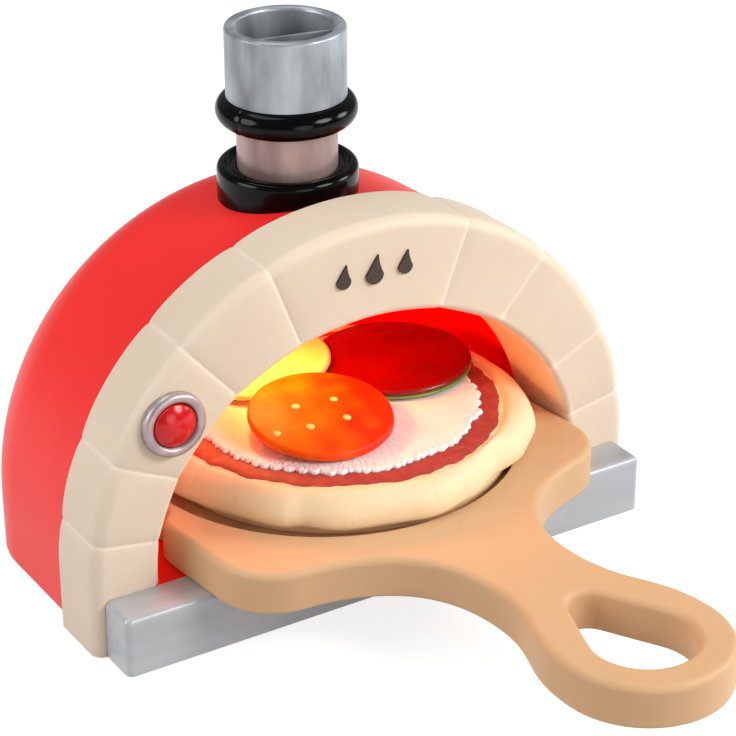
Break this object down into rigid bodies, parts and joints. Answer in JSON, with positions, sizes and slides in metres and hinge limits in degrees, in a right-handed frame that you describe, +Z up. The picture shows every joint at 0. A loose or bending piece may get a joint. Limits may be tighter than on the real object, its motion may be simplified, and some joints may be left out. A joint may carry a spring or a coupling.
{
  "type": "toy pizza oven",
  "caption": "Arched toy pizza oven with push button, pressable chimney, rear battery door, and a sliding peel that carries a layered pizza with loose toppings.",
  "frame": {"origin": "on the table, midway between the front of the stone arch and the back of the shell, under the chimney axis", "axes": "+Z up, the oven's mouth and the peel's handle towards -Y, +X to the right seen from the front"},
  "size_m": [0.271, 0.3374, 0.23],
  "materials": {
    "stone": "soft satin cream moulding",
    "red_shell": "satin red moulding",
    "black_gloss": "polished black moulding",
    "silver": "silver metal-flake plastic, satin",
    "button_red": "polished translucent red",
    "emblem": "dark printed relief",
    "tan_board": "satin tan moulding",
    "dough": "matt dough-coloured soft plastic",
    "sauce": "matt dark red",
    "cheese": "matt white",
    "pepperoni": "satin orange red",
    "pips": "matt pale yellow",
    "tomato": "polished deep red",
    "rind": "satin green",
    "pepper": "satin yellow",
    "grey_plastic": "matt dark grey moulding",
    "board_green": "green circuit board",
    "rubber": "grey silicone rubber",
    "steel": "zinc-plated steel",
    "contact": "nickel-plated spring steel",
    "cell_wrap": "plain dark sleeve",
    "lens": "translucent amber",
    "led": "clear warm lamp",
    "wire": "red insulated wire"
  },
  "bodies": {
    "oven": {"front_arch": "stone", "keystone_flames": "emblem", "oven_shell": "red_shell", "oven_vault": "red_shell", "vault_flange": "red_shell", "oven_floor": "red_shell", "base_plate": "grey_plastic", "base_screws": "steel", "arch_screws": "steel", "hearth_bar": "silver", "button_bezel": "silver", "button_keypad": "rubber", "button_board": "board_green", "chimney_guide": "grey_plastic", "chimney_collar": "black_gloss", "chimney_spring": "steel", "light_lens": "lens", "light_led": "led", "light_board": "board_green", "battery_box": "grey_plastic", "batteries": "cell_wrap", "hinge_pin": "steel", "power_switch": "grey_plastic", "speaker": "grey_plastic", "main_board": "board_green", "wire_leads": "wire", "cell_contacts": "contact"},
    "button": {"button_cap": "button_red"},
    "chimney": {"chimney_pipe": "silver", "chimney_ring": "black_gloss", "chimney_cap": "silver"},
    "peel": {"peel_board": "tan_board"},
    "pizza": {"pizza_crust": "dough", "pizza_sauce": "sauce", "pizza_cheese": "cheese"},
    "pepperoni": {"pepperoni_slice": "pepperoni", "pepperoni_spots": "pips"},
    "tomato": {"tomato_slice": "tomato", "tomato_rind": "rind"},
    "pepper": {"pepper_slice": "pepper"},
    "door": {"battery_door": "red_shell", "door_screw": "steel", "door_contacts": "contact"},
    "switch": {"switch_slider": "black_gloss"}
  },
  "joints": [
    {"name": "button_press", "type": "slide", "parent": "oven", "child": "button", "axis": [0, 1, 0], "range_m": [0, 0.0025], "stiffness_N_per_m": 400, "springref_m": -0.002},
    {"name": "chimney_press", "type": "slide", "parent": "oven", "child": "chimney", "axis": [0, 0, -1], "range_m": [0, 0.017], "stiffness_N_per_m": 200, "springref_m": -0.012, "deforming": ["chimney_spring"]},
    {"name": "peel_slide", "type": "slide", "parent": "oven", "child": "peel", "axis": [0.1045, -0.9945, 0], "range_m": [0, 0.235]},
    {"name": "pizza_lift", "type": "slide", "parent": "peel", "child": "pizza", "axis": [0, 0, 1], "range_m": [0, 0.008]},
    {"name": "tomato_lift", "type": "slide", "parent": "pizza", "child": "tomato", "axis": [0, 0, 1], "range_m": [0, 0.008]},
    {"name": "pepper_lift", "type": "slide", "parent": "tomato", "child": "pepper", "axis": [0, 0, 1], "range_m": [0, 0.008]},
    {"name": "pepperoni_lift", "type": "slide", "parent": "pepper", "child": "pepperoni", "axis": [0, 0, 1], "range_m": [0, 0.008]},
    {"name": "battery_door_hinge", "type": "hinge", "parent": "oven", "child": "door", "pos_m": [-0.02535, 0.0695, 0.013], "axis": [0, 0, 1], "range_deg": [0, 100]},
    {"name": "power_slide", "type": "slide", "parent": "oven", "child": "switch", "axis": [1, 0, 0], "range_m": [0, 0.004]}
  ]
}
